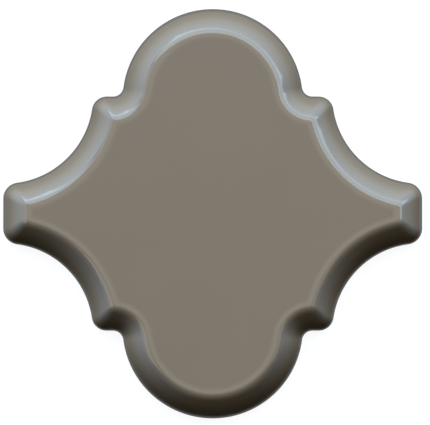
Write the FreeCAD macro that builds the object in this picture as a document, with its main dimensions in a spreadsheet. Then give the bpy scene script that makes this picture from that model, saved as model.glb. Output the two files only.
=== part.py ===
"""A pressed and glazed lantern (arabesque) wall tile.

Units are millimetres. The tile lies on its back: +Z points out of the glazed face, +X runs through
the two flat tips, +Y through the two round lobes, and the origin is the centre of the back.

The outline has four equal quarters, so one quarter is modelled and then mirrored twice. Going
round a quarter from the top of the lobe to the middle of the tip, the edge is: the lobe, a small
hollow root, the level top of the shoulder, the hollow cove, and the flat tip. The shoulder and the
tip end in convex corners, which are rounded in plan.
"""
import FreeCAD, Part
import enum
import math
import os

import Sketcher

NODE = "arabesque_tile"
PARTS_FOLDER = "parts"

SIZES = {
    # The outline, seen from the front.
    "tile_length": 120.0,
    "tile_width": 117.3,
    "lobe_radius": 25.8,
    "root_radius": 3.0,
    "shoulder_height": 33.55,
    "shoulder_corner_radius": 4.2,
    "cove_radius": 25.1,
    "cove_centre_x": 59.4,
    "cove_centre_y": 33.7,
    "tip_corner_radius": 4.5,
    # The section through the edge.
    "thickness": 8.8,
    "bevel_width": 7.5,
    "bevel_drop": 5.0,
    "arris_radius": 0.6,
    "cushion_radius": 24.0,
    "crease_radius": 4.0,
    # The keyed back, which the mortar grips.
    "back_rim": 6.0,
    "back_chamfer": 0.4,
    "key_depth": 0.8,
    "rib_pitch": 11.5,
    "rib_width": 3.5,
    # How far the cutting sections reach past what they cut.
    "cutter_reach": 1.5,
}


class Place(enum.IntEnum):
    """The places on a sketch edge that a constraint can name."""

    START = enum.auto()
    END = enum.auto()
    CENTRE = enum.auto()


class Axis(enum.IntEnum):
    """The two axes that every sketch has."""

    X = -1
    Y = -2


START, END, CENTRE = Place
X_AXIS, Y_AXIS = Axis
ORIGIN = (X_AXIS, START)

LOBE, ROOT, SHOULDER, COVE, TIP = range(5)
RIM_EDGES = ["Edge1", "Edge2", "Edge3", "Edge4", "Edge5"]


def write_sheet(doc):
    """Put every driving dimension in the spreadsheet, under its own alias."""
    sheet = doc.addObject("Spreadsheet::Sheet", "Sizes")
    for row, (name, value) in enumerate(SIZES.items(), start=1):
        sheet.set(f"A{row}", name)
        sheet.set(f"B{row}", str(value))
        sheet.setAlias(f"B{row}", name)
    doc.recompute()
    return sheet


def origin_plane(body, role):
    """Return one of the body's own origin planes."""
    return next(item for item in body.Origin.OriginFeatures if item.Role == role)


def new_sketch(body, name, role):
    """Start a sketch on one of the body's origin planes."""
    sketch = body.newObject("Sketcher::SketchObject", name)
    sketch.AttachmentSupport = (origin_plane(body, role), [""])
    sketch.MapMode = "FlatFace"
    return sketch


def circle_arc(centre, radius, start, end):
    """Return a sketch arc that runs counter-clockwise between two angles in radians."""
    circle = Part.Circle(FreeCAD.Vector(*centre, 0), FreeCAD.Vector(0, 0, 1), radius)
    return Part.ArcOfCircle(circle, start, end)


def straight(start, end):
    """Return a sketch line between two points."""
    return Part.LineSegment(FreeCAD.Vector(*start, 0), FreeCAD.Vector(*end, 0))


def tie(sketch, kind, places, name, expression):
    """Add a named dimension to a sketch and bind it to the spreadsheet."""
    value = sketch.evalExpression(expression)
    index = sketch.addConstraint(Sketcher.Constraint(kind, *places, float(value)))
    sketch.renameConstraint(index, name)
    sketch.setExpression(f"Constraints.{name}", expression)


def draw_rim(sketch, inset):
    """Draw the five edges of one quarter of the outline, set in by a size of the sheet.

    inset is the alias of the distance, or None for the tile's own edge.
    """
    depth = SIZES[inset] if inset else 0.0
    less = f" - Sizes.{inset}" if inset else ""
    more = f" + Sizes.{inset}" if inset else ""
    top = SIZES["tile_width"] / 2 - depth
    tip_x = SIZES["tile_length"] / 2 - depth
    lobe_radius = SIZES["lobe_radius"] - depth
    root_radius = SIZES["root_radius"] + depth
    cove_radius = SIZES["cove_radius"] + depth
    cove = (SIZES["cove_centre_x"], SIZES["cove_centre_y"])
    ledge_y = SIZES["shoulder_height"] - depth
    lobe = (0.0, top - lobe_radius)
    root_y = ledge_y + root_radius
    root_x = math.sqrt((lobe_radius + root_radius) ** 2 - (root_y - lobe[1]) ** 2)
    lean = math.atan2(root_y - lobe[1], root_x)
    shoulder_x = cove[0] - math.sqrt(cove_radius ** 2 - (ledge_y - cove[1]) ** 2)
    tip_y = cove[1] - math.sqrt(cove_radius ** 2 - (tip_x - cove[0]) ** 2)
    cove_start = math.atan2(ledge_y - cove[1], shoulder_x - cove[0]) % math.tau
    cove_end = math.atan2(tip_y - cove[1], tip_x - cove[0]) % math.tau

    sketch.addGeometry(circle_arc(lobe, lobe_radius, lean, math.pi / 2), False)
    sketch.addGeometry(circle_arc((root_x, root_y), root_radius, lean + math.pi, 1.5 * math.pi), False)
    sketch.addGeometry(straight((root_x, ledge_y), (shoulder_x, ledge_y)), False)
    sketch.addGeometry(circle_arc(cove, cove_radius, cove_start, cove_end), False)
    sketch.addGeometry(straight((tip_x, tip_y), (tip_x, 0)), False)

    sketch.addConstraint(Sketcher.Constraint("Tangent", LOBE, START, ROOT, START))
    sketch.addConstraint(Sketcher.Constraint("Tangent", ROOT, END, SHOULDER, START))
    sketch.addConstraint(Sketcher.Constraint("Coincident", SHOULDER, END, COVE, START))
    sketch.addConstraint(Sketcher.Constraint("Coincident", COVE, END, TIP, START))
    sketch.addConstraint(Sketcher.Constraint("Horizontal", SHOULDER))
    sketch.addConstraint(Sketcher.Constraint("Vertical", TIP))
    sketch.addConstraint(Sketcher.Constraint("PointOnObject", LOBE, CENTRE, Y_AXIS))
    sketch.addConstraint(Sketcher.Constraint("PointOnObject", LOBE, END, Y_AXIS))
    sketch.addConstraint(Sketcher.Constraint("PointOnObject", TIP, END, X_AXIS))
    tie(sketch, "DistanceY", (*ORIGIN, LOBE, END), "lobe_top", f"Sizes.tile_width / 2{less}")
    tie(sketch, "DistanceX", (*ORIGIN, TIP, END), "tip_reach", f"Sizes.tile_length / 2{less}")
    tie(sketch, "Radius", (LOBE,), "lobe_radius", f"Sizes.lobe_radius{less}")
    tie(sketch, "Radius", (ROOT,), "root_radius", f"Sizes.root_radius{more}")
    tie(sketch, "DistanceY", (*ORIGIN, SHOULDER, END), "shoulder_height", f"Sizes.shoulder_height{less}")
    tie(sketch, "Radius", (COVE,), "cove_radius", f"Sizes.cove_radius{more}")
    tie(sketch, "DistanceX", (*ORIGIN, COVE, CENTRE), "cove_centre_x", "Sizes.cove_centre_x")
    tie(sketch, "DistanceY", (*ORIGIN, COVE, CENTRE), "cove_centre_y", "Sizes.cove_centre_y")


def draw_quarter(body, name, inset):
    """Sketch a whole quarter: its rim, closed by two lines along the tile's centre lines."""
    sketch = new_sketch(body, name, "XY_Plane")
    draw_rim(sketch, inset)
    depth = SIZES[inset] if inset else 0.0
    tip_x = SIZES["tile_length"] / 2 - depth
    top = SIZES["tile_width"] / 2 - depth
    long_side = sketch.addGeometry(straight((tip_x, 0), (0, 0)), False)
    short_side = sketch.addGeometry(straight((0, 0), (0, top)), False)
    sketch.addConstraint(Sketcher.Constraint("Coincident", long_side, START, TIP, END))
    sketch.addConstraint(Sketcher.Constraint("Coincident", long_side, END, *ORIGIN))
    sketch.addConstraint(Sketcher.Constraint("Coincident", short_side, START, *ORIGIN))
    sketch.addConstraint(Sketcher.Constraint("Coincident", short_side, END, LOBE, END))
    return sketch


def cushion_section(wall):
    """Work out the arcs of the edge section, for a side wall at the given distance.

    The section is three convex arcs, each tangent to the next: the small arris that leaves the
    side wall, the long cushion, and the crease that runs into the flat face. Returns the centres
    of the three, and the angles at which the cushion meets the arris and the crease.
    """
    arris = (wall - SIZES["arris_radius"], SIZES["thickness"] - SIZES["bevel_drop"])
    crease = (wall - SIZES["bevel_width"], SIZES["thickness"] - SIZES["crease_radius"])
    to_arris = SIZES["cushion_radius"] - SIZES["arris_radius"]
    to_crease = SIZES["cushion_radius"] - SIZES["crease_radius"]
    gap = math.dist(arris, crease)
    along = (to_arris ** 2 - to_crease ** 2 + gap ** 2) / (2 * gap)
    across = math.sqrt(to_arris ** 2 - along ** 2)
    unit = ((crease[0] - arris[0]) / gap, (crease[1] - arris[1]) / gap)
    cushion = (
        arris[0] + along * unit[0] - across * unit[1],
        arris[1] + along * unit[1] + across * unit[0],
    )
    outer_angle = math.atan2(arris[1] - cushion[1], arris[0] - cushion[0])
    inner_angle = math.atan2(crease[1] - cushion[1], crease[0] - cushion[0])
    return arris, cushion, crease, outer_angle, inner_angle


def draw_bevel_cutter(body):
    """Sketch what the bevel takes off the edge, seen at the top of the lobe."""
    sketch = new_sketch(body, "bevel_cutter", "YZ_Plane")
    wall = SIZES["tile_width"] / 2
    face = SIZES["thickness"]
    spring = face - SIZES["bevel_drop"]
    inside = wall - SIZES["bevel_width"]
    outside = wall + SIZES["cutter_reach"]
    above = face + SIZES["cutter_reach"]
    arris, cushion, crease, outer_angle, inner_angle = cushion_section(wall)

    first = sketch.addGeometry(circle_arc(arris, SIZES["arris_radius"], 0, outer_angle), False)
    second = sketch.addGeometry(
        circle_arc(cushion, SIZES["cushion_radius"], outer_angle, inner_angle), False)
    third = sketch.addGeometry(
        circle_arc(crease, SIZES["crease_radius"], inner_angle, math.pi / 2), False)
    rise = sketch.addGeometry(straight((inside, face), (inside, above)), False)
    lid = sketch.addGeometry(straight((inside, above), (outside, above)), False)
    back = sketch.addGeometry(straight((outside, above), (outside, spring)), False)
    floor = sketch.addGeometry(straight((outside, spring), (wall, spring)), False)

    sketch.addConstraint(Sketcher.Constraint("Tangent", first, END, second, START))
    sketch.addConstraint(Sketcher.Constraint("Tangent", second, END, third, START))
    sketch.addConstraint(Sketcher.Constraint("Horizontal", first, CENTRE, first, START))
    sketch.addConstraint(Sketcher.Constraint("Vertical", third, CENTRE, third, END))
    sketch.addConstraint(Sketcher.Constraint("Coincident", third, END, rise, START))
    sketch.addConstraint(Sketcher.Constraint("Coincident", rise, END, lid, START))
    sketch.addConstraint(Sketcher.Constraint("Coincident", lid, END, back, START))
    sketch.addConstraint(Sketcher.Constraint("Coincident", back, END, floor, START))
    sketch.addConstraint(Sketcher.Constraint("Coincident", floor, END, first, START))
    for upright in (rise, back):
        sketch.addConstraint(Sketcher.Constraint("Vertical", upright))
    for level in (lid, floor):
        sketch.addConstraint(Sketcher.Constraint("Horizontal", level))
    tie(sketch, "Radius", (first,), "arris_radius", "Sizes.arris_radius")
    tie(sketch, "Radius", (second,), "cushion_radius", "Sizes.cushion_radius")
    tie(sketch, "Radius", (third,), "crease_radius", "Sizes.crease_radius")
    tie(sketch, "DistanceX", (*ORIGIN, first, START), "wall", "Sizes.tile_width / 2")
    tie(sketch, "DistanceY", (*ORIGIN, first, START), "spring", "Sizes.thickness - Sizes.bevel_drop")
    tie(sketch, "DistanceX", (third, END, first, START), "bevel_width", "Sizes.bevel_width")
    tie(sketch, "DistanceY", (*ORIGIN, third, END), "face", "Sizes.thickness")
    tie(sketch, "DistanceY", (rise, START, rise, END), "above", "Sizes.cutter_reach")
    tie(sketch, "DistanceX", (floor, END, floor, START), "outside", "Sizes.cutter_reach")
    return sketch


def draw_corner_cutter(body, name, role, radius_name):
    """Sketch what is turned off a convex corner, measured outwards from the corner's own centre.

    It has the same arris and cushion as the straight edges. The cushion runs on to the centre,
    where a construction circle for the crease keeps it at the same slope as elsewhere.
    """
    sketch = new_sketch(body, name, role)
    wall = SIZES[radius_name]
    face = SIZES["thickness"]
    spring = face - SIZES["bevel_drop"]
    outside = 2 * wall
    above = face + SIZES["cutter_reach"]
    arris, cushion, crease, outer_angle, _ = cushion_section(wall)
    peak_angle = math.acos(-cushion[0] / SIZES["cushion_radius"])
    peak = cushion[1] + SIZES["cushion_radius"] * math.sin(peak_angle)

    first = sketch.addGeometry(circle_arc(arris, SIZES["arris_radius"], 0, outer_angle), False)
    second = sketch.addGeometry(
        circle_arc(cushion, SIZES["cushion_radius"], outer_angle, peak_angle), False)
    rise = sketch.addGeometry(straight((0, peak), (0, above)), False)
    lid = sketch.addGeometry(straight((0, above), (outside, above)), False)
    back = sketch.addGeometry(straight((outside, above), (outside, 0)), False)
    floor = sketch.addGeometry(straight((outside, 0), (wall, 0)), False)
    side = sketch.addGeometry(straight((wall, 0), (wall, spring)), False)
    guide = sketch.addGeometry(
        Part.Circle(FreeCAD.Vector(*crease, 0), FreeCAD.Vector(0, 0, 1), SIZES["crease_radius"]), True)

    sketch.addConstraint(Sketcher.Constraint("Tangent", first, END, second, START))
    sketch.addConstraint(Sketcher.Constraint("Tangent", second, guide))
    sketch.addConstraint(Sketcher.Constraint("Tangent", side, END, first, START))
    sketch.addConstraint(Sketcher.Constraint("Coincident", second, END, rise, START))
    sketch.addConstraint(Sketcher.Constraint("PointOnObject", second, END, Y_AXIS))
    sketch.addConstraint(Sketcher.Constraint("Coincident", rise, END, lid, START))
    sketch.addConstraint(Sketcher.Constraint("Coincident", lid, END, back, START))
    sketch.addConstraint(Sketcher.Constraint("Coincident", back, END, floor, START))
    sketch.addConstraint(Sketcher.Constraint("Coincident", floor, END, side, START))
    for upright in (rise, back, side):
        sketch.addConstraint(Sketcher.Constraint("Vertical", upright))
    sketch.addConstraint(Sketcher.Constraint("Horizontal", lid))
    sketch.addConstraint(Sketcher.Constraint("PointOnObject", floor, START, X_AXIS))
    sketch.addConstraint(Sketcher.Constraint("PointOnObject", floor, END, X_AXIS))
    tie(sketch, "Radius", (first,), "arris_radius", "Sizes.arris_radius")
    tie(sketch, "Radius", (second,), "cushion_radius", "Sizes.cushion_radius")
    tie(sketch, "Radius", (guide,), "crease_radius", "Sizes.crease_radius")
    tie(sketch, "DistanceX", (*ORIGIN, side, START), "corner_radius", f"Sizes.{radius_name}")
    tie(sketch, "DistanceY", (*ORIGIN, side, END), "spring", "Sizes.thickness - Sizes.bevel_drop")
    tie(sketch, "DistanceX", (guide, CENTRE, side, START), "bevel_width", "Sizes.bevel_width")
    tie(sketch, "DistanceY", (*ORIGIN, guide, CENTRE), "crease_height",
        "Sizes.thickness - Sizes.crease_radius")
    tie(sketch, "DistanceX", (floor, END, floor, START), "outside", f"Sizes.{radius_name}")
    tie(sketch, "DistanceY", (*ORIGIN, lid, END), "above", "Sizes.thickness + Sizes.cutter_reach")
    return sketch


def turn_corner(body, sketch, name, angle, reversed_turn):
    """Turn a corner cutter about its own centre, from one straight edge round to the cove."""
    groove = body.newObject("PartDesign::Groove", name)
    groove.Profile = sketch
    groove.ReferenceAxis = (sketch, ["V_Axis"])
    groove.Reversed = reversed_turn
    groove.setExpression("Angle", angle)
    return groove


def round_tip(body):
    """Round the tip's corner: its centre is a radius in from the tip and touches the cove."""
    sketch = draw_corner_cutter(body, "tip_corner_cutter", "XZ_Plane", "tip_corner_radius")
    reach = "(Sizes.cove_radius + Sizes.tip_corner_radius)"
    centre_x = "(Sizes.tile_length / 2 - Sizes.tip_corner_radius)"
    aside = f"(Sizes.cove_centre_x - {centre_x})"
    sketch.setExpression(".AttachmentOffset.Base.x", centre_x)
    sketch.setExpression(".AttachmentOffset.Base.z", f"sqrt({reach}^2 - {aside}^2) - Sizes.cove_centre_y")
    return turn_corner(body, sketch, "tip_corner", f"acos({aside} / {reach})", False)


def round_shoulder(body):
    """Round the shoulder's corner: its centre is a radius below the ledge and touches the cove."""
    sketch = draw_corner_cutter(body, "shoulder_corner_cutter", "YZ_Plane", "shoulder_corner_radius")
    reach = "(Sizes.cove_radius + Sizes.shoulder_corner_radius)"
    centre_y = "(Sizes.shoulder_height - Sizes.shoulder_corner_radius)"
    aside = f"(Sizes.cove_centre_y - {centre_y})"
    sketch.setExpression(".AttachmentOffset.Base.x", centre_y)
    sketch.setExpression(".AttachmentOffset.Base.z", f"Sizes.cove_centre_x - sqrt({reach}^2 - {aside}^2)")
    return turn_corner(body, sketch, "shoulder_corner", f"acos({aside} / {reach})", True)


def check_cut(feature, before):
    """Stop if a cutting feature took nothing off, and return the volume that is left."""
    after = feature.Shape.Volume
    if after >= before:
        raise RuntimeError(f"{feature.Name} cuts nothing")
    return after


def draw_ribs(body, name):
    """Sketch the level ribs of one quarter, one across each multiple of the rib pitch."""
    sketch = new_sketch(body, name, "XY_Plane")
    reach = SIZES["tile_length"] / 2
    half_rib = SIZES["rib_width"] / 2
    rib_count = int(SIZES["tile_width"] / 2 / SIZES["rib_pitch"]) + 1
    for number in range(rib_count):
        middle = number * SIZES["rib_pitch"]
        low = middle - half_rib
        high = middle + half_rib
        floor = sketch.addGeometry(straight((-half_rib, low), (reach, low)), False)
        end = sketch.addGeometry(straight((reach, low), (reach, high)), False)
        roof = sketch.addGeometry(straight((reach, high), (-half_rib, high)), False)
        start = sketch.addGeometry(straight((-half_rib, high), (-half_rib, low)), False)
        sides = (floor, end, roof, start)
        for side, following in zip(sides, sides[1:] + sides[:1]):
            sketch.addConstraint(Sketcher.Constraint("Coincident", side, END, following, START))
        for level in (floor, roof):
            sketch.addConstraint(Sketcher.Constraint("Horizontal", level))
        for upright in (end, start):
            sketch.addConstraint(Sketcher.Constraint("Vertical", upright))
        tie(sketch, "DistanceY", (floor, START, roof, END), f"rib_{number}_width", "Sizes.rib_width")
        tie(sketch, "DistanceX", (start, START, *ORIGIN), f"rib_{number}_start", "Sizes.rib_width / 2")
        tie(sketch, "DistanceX", (*ORIGIN, end, START), f"rib_{number}_end", "Sizes.tile_length / 2")
        tie(sketch, "DistanceY", (*ORIGIN, roof, END), f"rib_{number}_place",
            f"Sizes.rib_pitch * {number} + Sizes.rib_width / 2")
    return sketch


def make_keys(doc):
    """Make the shallow recesses of the keyed back, as the punch that presses them."""
    keys = doc.addObject("PartDesign::Body", "Keys")
    field = keys.newObject("PartDesign::Pad", "key_field")
    field.Profile = draw_quarter(keys, "key_outline", "back_rim")
    field.setExpression("Length", "Sizes.key_depth")
    doc.recompute()
    ribs = keys.newObject("PartDesign::Pocket", "key_ribs")
    ribs.Profile = draw_ribs(keys, "rib_lines")
    ribs.Type = "ThroughAll"
    ribs.Reversed = True
    doc.recompute()
    check_cut(ribs, field.Shape.Volume)
    return keys


def make_quarter(doc, tile):
    """Shape one quarter: the slab, the bevel swept round its rim, its corners and its back."""
    outline = draw_quarter(tile, "outline", None)
    slab = tile.newObject("PartDesign::Pad", "slab")
    slab.Profile = outline
    slab.setExpression("Length", "Sizes.thickness")
    doc.recompute()
    rim = new_sketch(tile, "rim", "XY_Plane")
    draw_rim(rim, None)
    bevel = tile.newObject("PartDesign::SubtractivePipe", "bevel")
    bevel.Profile = draw_bevel_cutter(tile)
    bevel.Spine = (rim, RIM_EDGES)
    bevel.Transition = "Right corner"
    doc.recompute()
    volume = check_cut(bevel, slab.Shape.Volume)
    for round_corner in (round_tip, round_shoulder):
        corner = round_corner(tile)
        doc.recompute()
        volume = check_cut(corner, volume)
    keys = make_keys(doc)
    back = tile.newObject("PartDesign::Boolean", "keyed_back")
    back.Type = "Cut"
    back.setObjects([keys])
    doc.recompute()
    check_cut(back, volume)


def mirror_body(doc, tile, name, role):
    """Mirror the whole body in one of its origin planes."""
    mirrored = tile.newObject("PartDesign::Mirrored", name)
    mirrored.TransformMode = "Whole shape"
    mirrored.MirrorPlane = (origin_plane(tile, role), [""])
    tile.Tip = mirrored
    doc.recompute()
    return mirrored


def chamfer_back(doc, tile, base):
    """Break the sharp edge where the side wall meets the back."""
    back = min(base.Shape.Faces, key=lambda face: (round(face.CenterOfMass.z, 3), -face.Area))
    rim = back.OuterWire.Edges
    names = [
        f"Edge{number}"
        for number, edge in enumerate(base.Shape.Edges, start=1)
        if any(edge.isSame(other) for other in rim)
    ]
    chamfer = tile.newObject("PartDesign::Chamfer", "back_chamfer")
    chamfer.Base = (base, names)
    chamfer.setExpression("Size", "Sizes.back_chamfer")
    tile.Tip = chamfer
    doc.recompute()
    check_cut(chamfer, base.Shape.Volume)


def check_document(doc, tile):
    """Stop if any object failed, or if the tile isn't one valid solid."""
    for item in doc.Objects:
        if "Invalid" in item.State or "Error" in item.State:
            raise RuntimeError(f"{item.Name} failed: {item.State}")
    shape = tile.Shape
    if shape.isNull() or not shape.isValid() or len(shape.Solids) != 1:
        raise RuntimeError("the tile isn't one valid solid")


def main():
    """Build the tile and write it out under its own label."""
    os.makedirs(PARTS_FOLDER, exist_ok=True)
    doc = FreeCAD.newDocument("Tile")
    write_sheet(doc)
    tile = doc.addObject("PartDesign::Body", "Tile")
    tile.Label = NODE
    make_quarter(doc, tile)
    mirror_body(doc, tile, "half", "YZ_Plane")
    whole = mirror_body(doc, tile, "whole", "XZ_Plane")
    chamfer_back(doc, tile, whole)
    tile.Placement = FreeCAD.Placement()
    doc.recompute()
    check_document(doc, tile)
    tile.Shape.exportStep(os.path.join(PARTS_FOLDER, f"{tile.Label}.step"))
    box = tile.Shape.optimalBoundingBox()
    print(f"{tile.Label}: {box.XLength:.2f} x {box.YLength:.2f} x {box.ZLength:.2f} mm, "
          f"{tile.Shape.Volume / 1000:.2f} cm3, {len(tile.Shape.Faces)} faces")


main()
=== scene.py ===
"""A glazed lantern (arabesque) wall tile, dressed and lit as on a plain product page.

The tile lies on its back with its glazed face up: +X runs through the two flat tips and +Y through
the two round lobes. All lengths are metres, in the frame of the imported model; MM turns millimetres
into them. Inside the shaders lengths are millimetres.
"""

import logging
import math
from dataclasses import dataclass
from enum import IntEnum
from typing import Any, Union

import bmesh
import bpy
from mathutils import Matrix, Vector, geometry, noise


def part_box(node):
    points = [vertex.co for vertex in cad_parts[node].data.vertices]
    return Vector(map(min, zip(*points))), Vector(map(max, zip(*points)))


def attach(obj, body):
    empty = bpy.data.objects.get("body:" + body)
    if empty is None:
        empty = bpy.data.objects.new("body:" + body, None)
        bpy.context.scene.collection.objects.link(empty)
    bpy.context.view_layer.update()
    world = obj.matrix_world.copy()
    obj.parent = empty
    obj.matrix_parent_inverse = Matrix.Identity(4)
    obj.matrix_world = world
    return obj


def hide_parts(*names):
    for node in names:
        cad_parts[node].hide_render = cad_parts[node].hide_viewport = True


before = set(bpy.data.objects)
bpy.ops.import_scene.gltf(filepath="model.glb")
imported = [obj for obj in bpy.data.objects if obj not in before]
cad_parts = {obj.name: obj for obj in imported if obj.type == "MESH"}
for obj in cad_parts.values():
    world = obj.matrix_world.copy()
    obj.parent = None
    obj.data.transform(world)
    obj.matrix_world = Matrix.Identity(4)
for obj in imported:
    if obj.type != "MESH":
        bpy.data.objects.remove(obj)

MM = 0.001
NODE = "arabesque_tile"
BODY = "root"
WELD = 0.002 * MM
SNAP = 0.2 * MM
LOG = logging.getLogger("tile")

Colour = tuple[float, float, float]
Band = tuple[float, float]


class Skin(IntEnum):
    """What covers a face of the tile. The value is the piece's material index."""

    GLAZE = 0
    BISQUE = 1


class Signal:
    """A socket of a shader, on which Python's operators add Math nodes."""

    def __init__(self, shader: "Shader", socket: bpy.types.NodeSocket) -> None:
        """Keep the socket and the shader that it belongs to.

        Args:
            shader: the shader whose tree gets the Math nodes.
            socket: the output socket that gives this signal's value.
        """
        self.shader = shader
        self.socket = socket

    def __add__(self, other: "Value") -> "Signal":
        """Return this signal plus another."""
        return self.shader.maths("ADD", self, other)

    def __radd__(self, other: "Value") -> "Signal":
        """Return a number plus this signal."""
        return self.shader.maths("ADD", other, self)

    def __sub__(self, other: "Value") -> "Signal":
        """Return this signal less another."""
        return self.shader.maths("SUBTRACT", self, other)

    def __rsub__(self, other: "Value") -> "Signal":
        """Return a number less this signal."""
        return self.shader.maths("SUBTRACT", other, self)

    def __mul__(self, other: "Value") -> "Signal":
        """Return this signal times another."""
        return self.shader.maths("MULTIPLY", self, other)

    def __rmul__(self, other: "Value") -> "Signal":
        """Return a number times this signal."""
        return self.shader.maths("MULTIPLY", other, self)

    def __truediv__(self, other: "Value") -> "Signal":
        """Return this signal over another."""
        return self.shader.maths("DIVIDE", self, other)


Value = Union[Signal, float]


class Shader:
    """The nodes of a material or world, with one method for maths and one for the other nodes."""

    def __init__(self, owner: Union[bpy.types.Material, bpy.types.World]) -> None:
        """Start with no nodes.

        Args:
            owner: the material or world that the nodes belong to.
        """
        owner.use_nodes = True
        self.tree = owner.node_tree
        self.tree.nodes.clear()

    def node(self, kind: str, settings: dict[str, Any], sockets: dict[Any, Any]) -> bpy.types.Node:
        """Add a node, set it up and feed it.

        Args:
            kind: the node's type, such as ShaderNodeTexNoise.
            settings: the node's own properties, which are set first.
            sockets: a value, signal or socket for each input, by its name or number.

        Returns:
            The new node.
        """
        made = self.tree.nodes.new(kind)
        for name, value in settings.items():
            setattr(made, name, value)
        for key, value in sockets.items():
            if isinstance(value, Signal):
                value = value.socket
            if isinstance(value, bpy.types.NodeSocket):
                self.tree.links.new(value, made.inputs[key])
            else:
                made.inputs[key].default_value = value
        return made

    def maths(self, operation: str, first: Value, second: Value) -> Signal:
        """Add a Math node.

        Args:
            operation: the Math node's operation.
            first: its first value.
            second: its second value.

        Returns:
            The node's result.
        """
        made = self.node("ShaderNodeMath", {"operation": operation}, {0: first, 1: second})
        return Signal(self, made.outputs[0])

    def step(self, value: Signal, low: float, high: float) -> Signal:
        """Return a signal that goes smoothly from 0 at low to 1 at high."""
        made = self.node("ShaderNodeMapRange", {"interpolation_type": "SMOOTHSTEP"},
                         {"Value": value, "From Min": low, "From Max": high})
        return Signal(self, made.outputs["Result"])

    def millimetres(self) -> bpy.types.NodeSocket:
        """Return the object's own coordinates, in millimetres."""
        place = self.node("ShaderNodeTexCoord", {}, {})
        scaled = self.node("ShaderNodeVectorMath", {"operation": "SCALE"},
                           {0: place.outputs["Object"], "Scale": 1 / MM})
        return scaled.outputs[0]

    def grain(self, place: bpy.types.NodeSocket, size: float, detail: float) -> Signal:
        """Return a noise around zero.

        Args:
            place: the coordinates, in millimetres.
            size: the size of its largest spots, in millimetres.
            detail: how many finer layers it has.

        Returns:
            A signal from about -0.5 to 0.5.
        """
        made = self.node("ShaderNodeTexNoise", {},
                         {"Vector": place, "Scale": 1 / size, "Detail": detail, "Roughness": 0.55})
        return Signal(self, made.outputs["Fac"]) - 0.5

    def pits(self, place: bpy.types.NodeSocket, spacing: float, radius: float) -> Signal:
        """Return a mask of small round pits, where the points of a 3-D pattern meet the surface.

        Args:
            place: the coordinates, in millimetres.
            spacing: the size of the pattern's cells, in millimetres.
            radius: the largest pit's radius, in millimetres.

        Returns:
            A signal of 1 in a pit's middle and 0 outside it.
        """
        made = self.node("ShaderNodeTexVoronoi", {"feature": "F1"},
                         {"Vector": place, "Scale": 1 / spacing})
        away = Signal(self, made.outputs["Distance"]) * spacing
        return 1.0 - self.step(away, 0.4 * radius, radius)

    def attribute(self, name: str) -> Signal:
        """Return a value that the mesh carries on its points."""
        made = self.node("ShaderNodeAttribute", {"attribute_name": name}, {})
        return Signal(self, made.outputs["Fac"])

    def blend(self, share: Value, first: Any, second: Any) -> bpy.types.NodeSocket:
        """Mix two colours.

        Args:
            share: how much of the second colour there is, from 0 to 1.
            first: a colour or a colour socket.
            second: a colour or a colour socket.

        Returns:
            The mixed colour.
        """
        made = self.node("ShaderNodeMix", {"data_type": "RGBA"}, {0: share, 6: first, 7: second})
        return made.outputs[2]

    def shade(self, colour: bpy.types.NodeSocket, amount: Signal) -> bpy.types.NodeSocket:
        """Return a colour made lighter or darker by a factor."""
        made = self.node("ShaderNodeVectorMath", {"operation": "SCALE"}, {0: colour, "Scale": amount})
        return made.outputs[0]

    def finish(self, sockets: dict[str, Any], height: Signal) -> None:
        """End a material with a Principled shader and a bump.

        Args:
            sockets: the Principled shader's values and links.
            height: the surface's fine relief, in millimetres.
        """
        bump = self.node("ShaderNodeBump", {}, {"Strength": 1.0, "Distance": MM, "Height": height})
        surface = self.node("ShaderNodeBsdfPrincipled", {}, {**sockets, "Normal": bump.outputs[0]})
        self.node("ShaderNodeOutputMaterial", {}, {"Surface": surface.outputs[0]})


def opaque(colour: Colour) -> tuple[float, float, float, float]:
    """Return a linear colour with its alpha."""
    return (*colour, 1.0)


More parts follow.
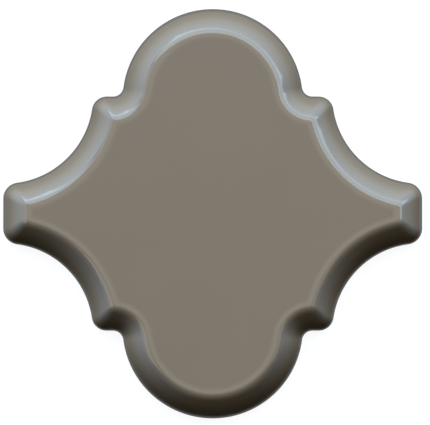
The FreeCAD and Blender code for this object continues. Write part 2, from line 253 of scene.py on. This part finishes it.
@dataclass(frozen=True)
class GreigeGlaze:
    """The glossy grey-brown glaze: lighter where it thins over its edges, with painted shade darkening
    the bevel (partly real pooling at its foot) and a painted highlight along the crease.

    A band is a pair of distances in from the tile's edge, in millimetres, between which an effect
    sets in or ends. A share is how far the colour goes towards another one.
    """

    colour: Colour = (0.175, 0.116, 0.071)
    # Lighter: the glaze where it thins over crests, and the painted highlight along the crease.
    thin_glaze_and_highlight: Colour = (0.27, 0.19, 0.125)
    # Dark brown: the glaze in pinholes and where it pools at the foot, and the painted shade down the
    # bevel.
    dark_glaze_and_shade: Colour = (0.030, 0.019, 0.009)
    # A painted highlight in a band just inside the crease.
    rim_highlight_starts: Band = (6.6, 7.5)
    rim_highlight_ends: Band = (7.6, 9.1)
    rim_highlight_share: float = 0.45
    crest_share: float = 0.2
    # Painted shade over the bevel, from the crease outwards.
    slope_shade_ends: Band = (4.6, 7.5)
    slope_shade_share: float = 0.8
    # Darker still at the bevel's foot: partly pooled glaze, partly painted shade.
    foot_pool_and_shade_ends: Band = (0.2, 4.5)
    foot_pool_and_shade_share: float = 0.85
    dry_ends: Band = (0.05, 0.6)
    dry_roughness: float = 0.4
    gloss: float = 0.13
    cloud_size: float = 26.0
    speckle_size: float = 0.7
    ripple_size: float = 14.0
    peel_size: float = 1.6
    pinhole_spacing: float = 4.2
    pinhole_radius: float = 0.14

    def material(self) -> bpy.types.Material:
        """Make the glaze's material.

        Returns:
            The material, which reads the mesh's inset and crest attributes.
        """
        material = bpy.data.materials.new("greige_glaze")
        shader = Shader(material)
        place = shader.millimetres()
        inset = shader.attribute("inset")
        speckle = shader.grain(place, self.speckle_size, 3.0)
        pinhole = shader.pits(place, self.pinhole_spacing, self.pinhole_radius)
        cloud = shader.grain(place, self.cloud_size, 2.0)
        colour = self.layered_colour(shader, inset)
        colour = shader.blend(pinhole * 0.5, colour, opaque(self.dark_glaze_and_shade))
        colour = shader.shade(colour, 1.0 + cloud * 0.10 + speckle * 0.07)
        ripple = shader.grain(place, self.ripple_size, 1.0)
        peel = shader.grain(place, self.peel_size, 1.0)
        height = ripple * 0.030 + peel * 0.0035 - pinhole * 0.03
        dry = 1.0 - shader.step(inset, *self.dry_ends)
        roughness = self.gloss + dry * self.dry_roughness + speckle * 0.05 + pinhole * 0.25
        shader.finish(
            {"Base Color": colour, "Roughness": roughness, "IOR": 1.7,
             "Coat Weight": 1.0 - dry * 0.9, "Coat Roughness": 0.08, "Coat IOR": 1.6}, height)
        return material

    def layered_colour(self, shader: Shader, inset: Signal) -> bpy.types.NodeSocket:
        """Work out the glaze's colour by how thick it lies, with painted shade and a painted highlight
        on top.

        Args:
            shader: the material's shader.
            inset: the distance in from the tile's edge, in millimetres.

        Returns:
            The colour: lighter on crests, with a painted highlight along the crease and painted shade
                darker down the bevel.
        """
        crest = shader.attribute("crest")
        # Painted highlight just inside the crease.
        rim = shader.step(inset, *self.rim_highlight_starts) * (1.0 - shader.step(inset, *self.rim_highlight_ends))
        # Painted shade over the bevel.
        slope = 1.0 - shader.step(inset, *self.slope_shade_ends)
        # Pooled glaze and painted shade at the bevel's foot.
        foot = 1.0 - shader.step(inset, *self.foot_pool_and_shade_ends)
        # Crests lighter where the glaze thins, plus the painted highlight.
        thinning_and_highlight = crest * self.crest_share + rim * self.rim_highlight_share
        colour = shader.blend(thinning_and_highlight, opaque(self.colour), opaque(self.thin_glaze_and_highlight))
        # Darken the bevel with the painted shade.
        colour = shader.blend(slope * self.slope_shade_share, colour, opaque(self.dark_glaze_and_shade))
        return shader.blend(foot * self.foot_pool_and_shade_share, colour, opaque(self.dark_glaze_and_shade))


@dataclass(frozen=True)
class CreamBisque:
    """The bare fired clay of the back and of the foot of the side wall. Sizes are millimetres."""

    colour: Colour = (0.60, 0.51, 0.39)
    dusty: Colour = (0.68, 0.61, 0.51)
    iron: Colour = (0.22, 0.13, 0.07)
    cloud_size: float = 17.0
    sand_size: float = 0.45
    spot_spacing: float = 2.3
    spot_radius: float = 0.17

    def material(self) -> bpy.types.Material:
        """Make the clay's material.

        Returns:
            The material, which reads the mesh's crest attribute.
        """
        material = bpy.data.materials.new("cream_bisque")
        shader = Shader(material)
        place = shader.millimetres()
        cloud = shader.grain(place, self.cloud_size, 3.0)
        sand = shader.grain(place, self.sand_size, 4.0)
        spot = shader.pits(place, self.spot_spacing, self.spot_radius)
        crest = shader.attribute("crest")
        dust = shader.step(cloud, -0.15, 0.2) * 0.7
        colour = shader.blend(dust, opaque(self.colour), opaque(self.dusty))
        colour = shader.blend(crest * 0.3, colour, opaque(self.dusty))
        colour = shader.blend(spot * 0.55, colour, opaque(self.iron))
        colour = shader.shade(colour, 1.0 + sand * 0.22)
        height = sand * 0.07 + cloud * 0.02
        shader.finish({"Base Color": colour, "Roughness": 0.86 + sand * 0.2}, height)
        return material


@dataclass(frozen=True)
class Arc:
    """A stretch of the rim that turns about a centre."""

    centre: Vector
    turn: float
    steps: int

    def draw(self, bm: bmesh.types.BMesh, last: bmesh.types.BMVert) -> bmesh.types.BMVert:
        """Spin the chain's last point round the centre.

        Args:
            bm: the mesh that is being drawn.
            last: the point that the chain has reached.

        Returns:
            The point that it reaches now.
        """
        centre = Vector((self.centre.x, self.centre.y, last.co.z))
        made = bmesh.ops.spin(bm, geom=[last], cent=centre, axis=(0, 0, 1), dvec=(0, 0, 0),
                              angle=self.turn, space=Matrix.Identity(4), steps=self.steps,
                              use_duplicate=False, use_merge=False, use_normal_flip=False)
        return next(item for item in made["geom_last"] if isinstance(item, bmesh.types.BMVert))


@dataclass(frozen=True)
class Run:
    """A straight stretch of the rim."""

    reach: Vector
    steps: int

    def draw(self, bm: bmesh.types.BMesh, last: bmesh.types.BMVert) -> bmesh.types.BMVert:
        """Extrude the chain's last point along the run.

        Args:
            bm: the mesh that is being drawn.
            last: the point that the chain has reached.

        Returns:
            The point that it reaches now.
        """
        stride = Vector((self.reach.x, self.reach.y, 0)) / self.steps
        for _ in range(self.steps):
            made = bmesh.ops.extrude_vert_indiv(bm, verts=[last])
            bmesh.ops.translate(bm, verts=made["verts"], vec=stride)
            last = made["verts"][0]
        return last


def heading(start: Vector, end: Vector) -> float:
    """Return the direction from one point of the plan to another, in radians."""
    return math.atan2(end.y - start.y, end.x - start.x)


@dataclass(frozen=True)
class LanternOutline:
    """The outline in plan, one quarter of it, and the same outline set in by any distance.

    Going round the quarter from the top of the lobe to the middle of the tip, the edge is the
    lobe, a small hollow root, the level ledge of the shoulder, the hollow cove and the flat tip.
    The shoulder and the tip are convex corners. Their ridges stay soft all the way up the bevel.
    """

    length: float
    width: float
    lobe_radius: float = 25.8 * MM
    root_radius: float = 3.0 * MM
    shoulder_height: float = 33.55 * MM
    shoulder_corner: float = 4.2 * MM
    cove_radius: float = 25.1 * MM
    cove_x: float = 59.4 * MM
    cove_y: float = 33.7 * MM
    tip_corner: float = 4.5 * MM
    outer_ridge: float = 3.0 * MM
    inner_ridge: float = 0.6 * MM
    ridge_reach: float = 7.5 * MM
    ridge_blend: float = 0.6 * MM
    lobe_steps: int = 56
    root_steps: int = 14
    ledge_steps: int = 2
    corner_steps: int = 12
    cove_steps: int = 52
    tip_steps: int = 6

    def corner_radius(self, own: float, inset: float) -> float:
        """Work out a corner's radius in plan: its own while that lasts, and then the ridge's.

        Args:
            own: the corner's radius at the tile's very edge.
            inset: how far in from the edge.

        Returns:
            The radius there.
        """
        share = min(inset / self.ridge_reach, 1.0)
        ridge = self.outer_ridge + (self.inner_ridge - self.outer_ridge) * share ** 2
        left = own - inset
        return 0.5 * (left + ridge + math.hypot(left - ridge, self.ridge_blend))

    def stretches(self, inset: float) -> list[Union[Arc, Run]]:
        """Work out the stretches of the quarter at an inset.

        Args:
            inset: how far in from the tile's edge.

        Returns:
            The arcs and runs, in order from the top of the lobe to the middle of the tip.
        """
        lobe = Vector((0.0, self.width / 2 - self.lobe_radius))
        root_y = self.shoulder_height + self.root_radius
        root_x = math.sqrt((self.lobe_radius + self.root_radius) ** 2 - (root_y - lobe.y) ** 2)
        root = Vector((root_x, root_y))
        cove = Vector((self.cove_x, self.cove_y))
        round_shoulder = self.corner_radius(self.shoulder_corner, inset)
        round_tip = self.corner_radius(self.tip_corner, inset)

        reach = self.cove_radius + inset + round_shoulder
        shoulder_y = self.shoulder_height - inset - round_shoulder
        shoulder = Vector((cove.x - math.sqrt(reach ** 2 - (cove.y - shoulder_y) ** 2), shoulder_y))
        ledge = shoulder.x - root.x
        if ledge < 0:
            from_root = self.root_radius + inset + round_shoulder
            meetings = geometry.intersect_sphere_sphere_2d(root, from_root, cove, reach)
            shoulder = min(meetings, key=lambda point: point.y)
            ledge = 0.0

        tip_x = self.length / 2 - inset - round_tip
        reach = self.cove_radius + inset + round_tip
        tip = Vector((tip_x, cove.y - math.sqrt(reach ** 2 - (cove.x - tip_x) ** 2)))

        root_end = heading(root, shoulder) if ledge == 0 else -math.pi / 2
        return [
            Arc(lobe, heading(lobe, root) - math.pi / 2, self.lobe_steps),
            Arc(root, (root_end - heading(root, lobe)) % math.tau, self.root_steps),
            Run(Vector((ledge, 0.0)), self.ledge_steps),
            Arc(shoulder, heading(shoulder, cove) - root_end - math.pi, self.corner_steps),
            Arc(cove, (heading(cove, tip) - heading(cove, shoulder)) % math.tau, self.cove_steps),
            Arc(tip, -heading(tip, cove), self.corner_steps),
            Run(Vector((0.0, -tip.y)), self.tip_steps),
        ]

    def draw(self, inset: float, height: float) -> bpy.types.Mesh:
        """Draw the quarter as a chain of edges.

        Args:
            inset: how far in from the tile's edge.
            height: how high above the back.

        Returns:
            A mesh that holds the chain alone.
        """
        bm = bmesh.new()
        last = bm.verts.new((0.0, self.width / 2 - inset, height))
        for stretch in self.stretches(inset):
            last = stretch.draw(bm, last)
        last.co.y = 0.0
        chain = bpy.data.meshes.new("chain")
        bm.to_mesh(chain)
        bm.free()
        return chain


@dataclass(frozen=True)
class Station:
    """One place on the section through the edge, which becomes a ring round the tile."""

    inset: float
    height: float
    skin: Skin = Skin.GLAZE
    sway: float = 0.0


@dataclass(frozen=True)
class EdgeSection:
    """The section through the edge, from the flat face over the bevel and down to the back.

    The bevel is three convex arcs, each tangent to the next: the crease that leaves the flat face,
    the long cushion, and the small arris that runs into the side wall. The glaze ends in a rounded
    lip on the wall, proud of the bare clay below it.
    """

    thickness: float
    bevel_width: float = 7.5 * MM
    bevel_drop: float = 5.0 * MM
    arris_radius: float = 0.6 * MM
    cushion_radius: float = 24.0 * MM
    crease_radius: float = 4.0 * MM
    glaze_line: float = 1.5 * MM
    glaze_coat: float = 0.12 * MM
    back_chamfer: float = 0.4 * MM
    back_rim: float = 6.0 * MM
    flat_rings: tuple[float, ...] = (1.6 * MM, 0.8 * MM, 0.25 * MM)
    arris_steps: int = 6
    cushion_steps: int = 20
    crease_steps: int = 11

    def arc(self, centre: Vector, radius: float, start: float, end: float, steps: int) -> list[Station]:
        """Work out the stations along one arc of the bevel.

        Args:
            centre: its centre, as inset and height.
            radius: its radius.
            start: the slope at which it starts, in radians.
            end: the slope at which it ends, in radians.
            steps: the number of stations, without the first.

        Returns:
            The stations after the start.
        """
        slopes = [start + (end - start) * number / steps for number in range(1, steps + 1)]
        return [
            Station(centre.x - radius * math.sin(slope), centre.y + radius * math.cos(slope))
            for slope in slopes
        ]

    def bevel(self) -> list[Station]:
        """Work out the bevel's stations, from the flat face out to the side wall.

        Returns:
            The stations.
        """
        crease = Vector((self.bevel_width, self.thickness - self.crease_radius))
        arris = Vector((self.arris_radius, self.thickness - self.bevel_drop))
        to_crease = self.cushion_radius - self.crease_radius
        to_arris = self.cushion_radius - self.arris_radius
        meetings = geometry.intersect_sphere_sphere_2d(crease, to_crease, arris, to_arris)
        cushion = min(meetings, key=lambda point: point.y)
        inner = math.atan2(cushion.x - crease.x, crease.y - cushion.y)
        outer = math.atan2(cushion.x - arris.x, arris.y - cushion.y)
        return [
            Station(self.bevel_width, self.thickness),
            *self.arc(crease, self.crease_radius, 0.0, inner, self.crease_steps),
            *self.arc(cushion, self.cushion_radius, inner, outer, self.cushion_steps),
            *self.arc(arris, self.arris_radius, outer, math.pi / 2, self.arris_steps),
        ]

    def stations(self) -> list[Station]:
        """Work out the whole section.

        Returns:
            The stations, from inside the flat face to inside the back.
        """
        flat = [Station(self.bevel_width + more, self.thickness) for more in self.flat_rings]
        return flat + self.bevel() + self.wall() + self.foot()

    def wall(self) -> list[Station]:
        """Work out the side wall: the glaze down to its rounded lip, and the bare clay below it.

        Returns:
            The stations, each with its share of the glaze line's rise and fall.
        """
        line, coat = self.glaze_line, self.glaze_coat
        return [
            Station(0.0, line + 1.4 * MM, sway=0.1),
            Station(0.0, line + 0.8 * MM, sway=0.5),
            Station(0.0, line + 0.35 * MM, sway=1.0),
            Station(0.15 * coat, line + 0.14 * MM, sway=1.0),
            Station(0.5 * coat, line + 0.04 * MM, sway=1.0),
            Station(coat, line, sway=1.0),
            Station(coat, line - 0.3 * MM, Skin.BISQUE, sway=0.6),
            Station(coat, line - 0.7 * MM, Skin.BISQUE, sway=0.1),
        ]

    def foot(self) -> list[Station]:
        """Work out the chamfer at the foot of the wall, slightly rounded, and the rim of the back.

        Returns:
            The stations, all of bare clay.
        """
        coat = self.glaze_coat
        edge = self.back_chamfer + coat
        return [
            Station(coat, self.back_chamfer + 0.06 * MM, Skin.BISQUE),
            Station(coat + 0.03 * MM, self.back_chamfer - 0.04 * MM, Skin.BISQUE),
            Station(edge - 0.04 * MM, 0.03 * MM, Skin.BISQUE),
            Station(edge + 0.06 * MM, 0.0, Skin.BISQUE),
            Station(0.5 * self.back_rim, 0.0, Skin.BISQUE),
            Station(self.back_rim, 0.0, Skin.BISQUE),
        ]


@dataclass(frozen=True)
class KeyedBack:
    """The shallow recesses pressed between level ribs, which the mortar grips."""

    depth: float = 0.8 * MM
    pitch: float = 11.5 * MM
    rib: float = 3.5 * MM
    draft: float = 0.04 * MM

    def press(self, bm: bmesh.types.BMesh, cap: bmesh.types.BMFace, half_width: float) -> None:
        """Cut the back along the ribs and press the strips between them inwards.

        Args:
            bm: the tile's mesh.
            cap: the face that closes the back.
            half_width: how far the ribs go on, either way from the middle.
        """
        faces = [cap]
        count = math.ceil(half_width / self.pitch)
        for number in range(-count, count + 1):
            for side in (-0.5, 0.5):
                cut = Vector((0.0, number * self.pitch + side * self.rib, 0.0))
                faces = split(bm, faces, cut, Vector((0.0, 1.0, 0.0)))
        strips = [face for face in faces if self.between_ribs(face.calc_center_median().y)]
        bmesh.ops.inset_individual(bm, faces=strips, thickness=self.draft, depth=-self.depth,
                                   use_even_offset=True, use_interpolate=True,
                                   use_relative_offset=False)

    def between_ribs(self, place: float) -> bool:
        """Tell whether a distance from the tile's long axis lies between two ribs."""
        return abs(place - round(place / self.pitch) * self.pitch) > self.rib / 2


def split(bm: bmesh.types.BMesh, faces: list[bmesh.types.BMFace], point: Vector,
          normal: Vector) -> list[bmesh.types.BMFace]:
    """Cut some faces with a plane. A corner within SNAP of it counts as on it.

    Args:
        bm: the mesh.
        faces: the faces to cut.
        point: a point on the plane.
        normal: the plane's direction.

    Returns:
        The faces after the cut.
    """
    edges = {edge for face in faces for edge in face.edges}
    verts = {vert for face in faces for vert in face.verts}
    made = bmesh.ops.bisect_plane(bm, geom=[*verts, *edges, *faces], dist=SNAP, plane_co=point,
                                  plane_no=normal, use_snap_center=False,
                                  clear_outer=False, clear_inner=False)
    return [item for item in made["geom"] if isinstance(item, bmesh.types.BMFace)]


@dataclass
class LanternTile:
    """The one fired piece: its mesh and its two finishes.

    The two corners of its box give its overall size. The glaze line sways by two waves, a long one
    and a short one on top of it.
    """

    low: Vector
    high: Vector
    grid: float = 5.0 * MM
    sway_height: float = 0.45 * MM
    long_wave: float = 11.0 * MM
    short_wave: float = 3.1 * MM
    short_share: float = 0.45
    crest_radius: float = 2.0 * MM
    least_gap: float = 0.05 * MM
    sharp_angle: float = math.radians(32.0)

    def __post_init__(self) -> None:
        """Work out the outline and the section from the box."""
        size = self.high - self.low
        self.outline = LanternOutline(length=size.x, width=size.y)
        self.section = EdgeSection(thickness=size.z)
        self.back = KeyedBack()

    def build(self) -> bpy.types.Object:
        """Model and dress the tile.

        Returns:
            The finished piece, at the origin.
        """
        bm = bmesh.new()
        self.bridge_quarter(bm)
        self.mirror_quarter(bm)
        self.wave_glaze_line(bm)
        self.close_face(bm)
        self.close_back(bm)
        bmesh.ops.recalc_face_normals(bm, faces=bm.faces[:])
        self.mark_crests(bm)
        self.shade_smooth(bm)
        bmesh.ops.translate(bm, verts=bm.verts[:], vec=(0.0, 0.0, self.low.z))
        mesh = bpy.data.meshes.new("glazed_lantern_tile")
        bm.to_mesh(mesh)
        bm.free()
        mesh.materials.append(GreigeGlaze().material())
        mesh.materials.append(CreamBisque().material())
        piece = bpy.data.objects.new("glazed_lantern_tile", mesh)
        bpy.context.scene.collection.objects.link(piece)
        return piece

    def bridge_quarter(self, bm: bmesh.types.BMesh) -> None:
        """Draw a quarter ring at every station and bridge each to the next.

        Args:
            bm: the tile's mesh.
        """
        inset = bm.verts.layers.float.new("inset")
        sway = bm.verts.layers.float.new("sway")
        glazed = bm.verts.layers.float.new("glazed")
        rings = []
        for station in self.section.stations():
            chain = self.outline.draw(station.inset, station.height)
            known = len(bm.edges)
            bm.from_mesh(chain)
            bpy.data.meshes.remove(chain)
            bm.edges.ensure_lookup_table()
            ring = bm.edges[known:]
            for vert in {vert for edge in ring for vert in edge.verts}:
                vert[inset] = station.inset / MM
                vert[sway] = station.sway
                vert[glazed] = float(station.skin is Skin.GLAZE)
            rings.append(ring)
        for upper, lower in zip(rings, rings[1:]):
            made = bmesh.ops.bridge_loops(bm, edges=upper + lower, use_pairs=False,
                                          use_cyclic=False, use_merge=False, merge_factor=0.5,
                                          twist_offset=0)
            for face in made["faces"]:
                bare = all(vert[glazed] == 0.0 for vert in face.verts)
                face.material_index = Skin.BISQUE if bare else Skin.GLAZE
        bmesh.ops.remove_doubles(bm, verts=bm.verts[:], dist=WELD)

    def mirror_quarter(self, bm: bmesh.types.BMesh) -> None:
        """Mirror the quarter into the whole ring.

        Args:
            bm: the tile's mesh.
        """
        for axis in ("X", "Y"):
            everything = [*bm.verts, *bm.edges, *bm.faces]
            bmesh.ops.mirror(bm, geom=everything, matrix=Matrix.Identity(4), merge_dist=WELD,
                             axis=axis)
        bmesh.ops.remove_doubles(bm, verts=bm.verts[:], dist=WELD)

    def wave_glaze_line(self, bm: bmesh.types.BMesh) -> None:
        """Let the glaze's lower lip rise and fall round the side wall.

        Args:
            bm: the tile's mesh.
        """
        sway = bm.verts.layers.float["sway"]
        for vert in bm.verts:
            if vert[sway] > 0.0:
                place = Vector((vert.co.x, vert.co.y, 0.0))
                wave = noise.noise(place / self.long_wave)
                wave += self.short_share * noise.noise(place / self.short_wave)
                vert.co.z += vert[sway] * self.sway_height * wave

    def close_loop(self, bm: bmesh.types.BMesh, height: float, skin: Skin) -> bmesh.types.BMFace:
        """Close the open loop at a height with one face.

        Args:
            bm: the tile's mesh.
            height: the loop's height.
            skin: what covers the face.

        Returns:
            The new face.
        """
        loop = [
            edge for edge in bm.edges
            if edge.is_boundary and abs(edge.verts[0].co.z - height) < WELD
        ]
        cap = bmesh.ops.edgeloop_fill(bm, edges=loop)["faces"][0]
        cap.material_index = skin
        return cap

    def close_face(self, bm: bmesh.types.BMesh) -> None:
        """Close the flat face and cut it into an even grid.

        Args:
            bm: the tile's mesh.
        """
        faces = [self.close_loop(bm, self.section.thickness, Skin.GLAZE)]
        reach = self.outline.length / 2
        lines = math.floor(reach / self.grid)
        for direction in (Vector((1.0, 0.0, 0.0)), Vector((0.0, 1.0, 0.0))):
            for number in range(-lines, lines + 1):
                faces = split(bm, faces, direction * number * self.grid, direction)

    def close_back(self, bm: bmesh.types.BMesh) -> None:
        """Close the back and press its recesses.

        Args:
            bm: the tile's mesh.
        """
        cap = self.close_loop(bm, 0.0, Skin.BISQUE)
        cap.normal_update()
        if cap.normal.z > 0:
            cap.normal_flip()
        self.back.press(bm, cap, self.outline.width / 2)

    def mark_crests(self, bm: bmesh.types.BMesh) -> None:
        """Write on every point how sharply the surface bends outwards there.

        It goes from 0 where the surface is flat or hollow to 1 at a bend of the crest's radius.

        Args:
            bm: the tile's mesh.
        """
        crest = bm.verts.layers.float.new("crest")
        for vert in bm.verts:
            bends = [
                edge.calc_face_angle_signed(0.0) / max(self.face_gap(edge), self.least_gap)
                for edge in vert.link_edges if edge.is_manifold
            ]
            vert[crest] = min(max(max(bends, default=0.0) * self.crest_radius, 0.0), 1.0)

    @staticmethod
    def face_gap(edge: bmesh.types.BMEdge) -> float:
        """Return how far apart the middles of an edge's two faces are, across the edge."""
        first, second = (face.calc_center_median() for face in edge.link_faces)
        along = (edge.verts[1].co - edge.verts[0].co).normalized()
        gap = second - first
        return (gap - along * gap.dot(along)).length

    def shade_smooth(self, bm: bmesh.types.BMesh) -> None:
        """Shade the tile smooth, with sharp edges where two faces meet at a real corner.

        Args:
            bm: the tile's mesh.
        """
        for face in bm.faces:
            face.smooth = True
        for edge in bm.edges:
            edge.smooth = edge.calc_face_angle(0.0) < self.sharp_angle


@dataclass(frozen=True)
class Softbox:
    """A large rectangular light that faces the tile.

    Its place is given in degrees: azimuth 0 is the +Y side and 90 the +X side.
    """

    name: str
    azimuth: float
    elevation: float
    distance: float
    width: float
    height: float
    radiance: float
    colour: Colour

    def place(self) -> None:
        """Hang the light."""
        turn, rise = math.radians(self.azimuth), math.radians(self.elevation)
        level = math.cos(rise)
        away = Vector((math.sin(turn) * level, math.cos(turn) * level, math.sin(rise)))
        data = bpy.data.lights.new(self.name, "AREA")
        data.shape = "RECTANGLE"
        data.size, data.size_y = self.width, self.height
        data.energy = self.radiance * math.pi * self.width * self.height
        data.color = self.colour
        lamp = bpy.data.objects.new(self.name, data)
        lamp.location = away * self.distance
        lamp.rotation_mode = "QUATERNION"
        lamp.rotation_quaternion = (-away).to_track_quat("-Z", "Y")
        bpy.context.scene.collection.objects.link(lamp)


@dataclass(frozen=True)
class Sweep:
    """The room's light: a pale sweep behind the tile that glows most a third of the way up.

    A band here is a pair of heights, as the sine of the elevation, or of distances towards the
    back, from -1 to 1.
    """

    horizon: float = 1.7
    rise: float = 1.5
    rise_band: Band = (0.05, 0.5)
    crown: float = 0.65
    crown_band: Band = (0.5, 0.8)
    back_band: Band = (-0.95, 0.95)
    lean: float = 0.12
    low_colour: Colour = (1.0, 0.98, 0.88)
    high_colour: Colour = (0.72, 0.87, 1.0)
    colour_band: Band = (0.1, 0.6)

    def world(self) -> bpy.types.World:
        """Make the world.

        Returns:
            The world, which is brightest on its +Y side and dark on its -Y side.
        """
        world = bpy.data.worlds.new("pale_sweep")
        shader = Shader(world)
        place = shader.node("ShaderNodeTexCoord", {}, {})
        parts = shader.node("ShaderNodeSeparateXYZ", {}, {0: place.outputs["Generated"]})
        right, back, up = (Signal(shader, socket) for socket in parts.outputs)
        lit = shader.step(back - right * self.lean, *self.back_band)
        glow = shader.step(up, *self.rise_band) * self.rise + self.horizon
        fade = 1.0 - shader.step(up, *self.crown_band) * self.crown
        colour = shader.blend(shader.step(up, *self.colour_band), opaque(self.low_colour),
                              opaque(self.high_colour))
        made = shader.node("ShaderNodeBackground", {},
                           {"Color": colour, "Strength": lit * glow * fade})
        shader.node("ShaderNodeOutputWorld", {}, {"Surface": made.outputs[0]})
        return world


@dataclass(frozen=True)
class Studio:
    """The pale floor, the lights and the sweep behind them."""

    floor_size: float = 6.0
    floor_shade: float = 0.15
    floor_glow: float = 0.90
    sweep: Sweep = Sweep()
    lights: tuple[Softbox, ...] = (
        Softbox("key_softbox", azimuth=20.0, elevation=56.0, distance=1.0,
                width=1.9, height=0.72, radiance=1.9, colour=(0.64, 0.85, 1.0)),
        Softbox("left_softbox", azimuth=-90.0, elevation=54.0, distance=1.0,
                width=0.8, height=0.5, radiance=0.78, colour=(0.92, 0.95, 0.90)),
        Softbox("right_softbox", azimuth=98.0, elevation=58.0, distance=1.0,
                width=0.5, height=0.4, radiance=0.46, colour=(0.92, 0.95, 0.90)),
    )

    def set_up(self) -> None:
        """Lay the floor, hang the lights and light the room."""
        self.lay_floor()
        for light in self.lights:
            light.place()
        bpy.context.scene.world = self.sweep.world()

    def lay_floor(self) -> None:
        """Lay a floor that looks white to the camera and in gloss, and keeps soft shadows."""
        bm = bmesh.new()
        bmesh.ops.create_grid(bm, x_segments=1, y_segments=1, size=self.floor_size / 2)
        mesh = bpy.data.meshes.new("floor")
        bm.to_mesh(mesh)
        bm.free()
        mesh.materials.append(self.floor_material())
        floor = bpy.data.objects.new("floor", mesh)
        bpy.context.scene.collection.objects.link(floor)

    def floor_material(self) -> bpy.types.Material:
        """Make the floor's material.

        Returns:
            A matt surface, with a glow that only the camera, gloss and glass see.
        """
        material = bpy.data.materials.new("pale_floor")
        shader = Shader(material)
        path = shader.node("ShaderNodeLightPath", {}, {})
        seen = Signal(shader, path.outputs["Is Camera Ray"])
        seen = seen + Signal(shader, path.outputs["Is Glossy Ray"])
        seen = seen + Signal(shader, path.outputs["Is Transmission Ray"])
        glow = shader.node("ShaderNodeEmission", {}, {"Strength": seen * self.floor_glow})
        matt = shader.node("ShaderNodeBsdfDiffuse", {}, {"Color": opaque((self.floor_shade,) * 3)})
        both = shader.node("ShaderNodeAddShader", {}, {0: matt.outputs[0], 1: glow.outputs[0]})
        shader.node("ShaderNodeOutputMaterial", {}, {"Surface": both.outputs[0]})
        return material


@dataclass(frozen=True)
class ProductCamera:
    """The camera, almost straight above the tile, a little towards its -Y side.

    The picture's scale is its pixels per metre at the aim's height, and the tilt is in degrees.
    """

    picture_width: int = 430
    picture_scale: float = 3.491 / MM
    aim_height: float = 3.8 * MM
    aim_x: float = 0.66 * MM
    aim_y: float = 0.28 * MM
    distance: float = 1.2
    tilt: float = 1.5
    sensor: float = 36.0

    def place(self) -> None:
        """Hang the camera and make it the scene's own."""
        data = bpy.data.cameras.new("product_camera")
        data.sensor_width = self.sensor
        data.lens = self.sensor * self.distance / (self.picture_width / self.picture_scale)
        tilt = math.radians(self.tilt)
        back = Vector((0.0, -math.sin(tilt), math.cos(tilt)))
        camera = bpy.data.objects.new("product_camera", data)
        camera.location = Vector((self.aim_x, self.aim_y, self.aim_height)) + back * self.distance
        camera.rotation_mode = "QUATERNION"
        camera.rotation_quaternion = (-back).to_track_quat("-Z", "Y")
        bpy.context.scene.collection.objects.link(camera)
        bpy.context.scene.camera = camera


def main() -> None:
    """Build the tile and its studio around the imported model."""
    logging.basicConfig(level=logging.INFO, format="%(name)s: %(message)s")
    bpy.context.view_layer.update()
    tile = LanternTile(*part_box(NODE)).build()
    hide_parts(NODE)
    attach(tile, BODY)
    LOG.info("%s: %d points, %d faces", tile.name, len(tile.data.vertices), len(tile.data.polygons))
    Studio().set_up()
    ProductCamera().place()
    bpy.context.scene.view_settings.view_transform = "Standard"


if __name__ == "__main__":
    main()
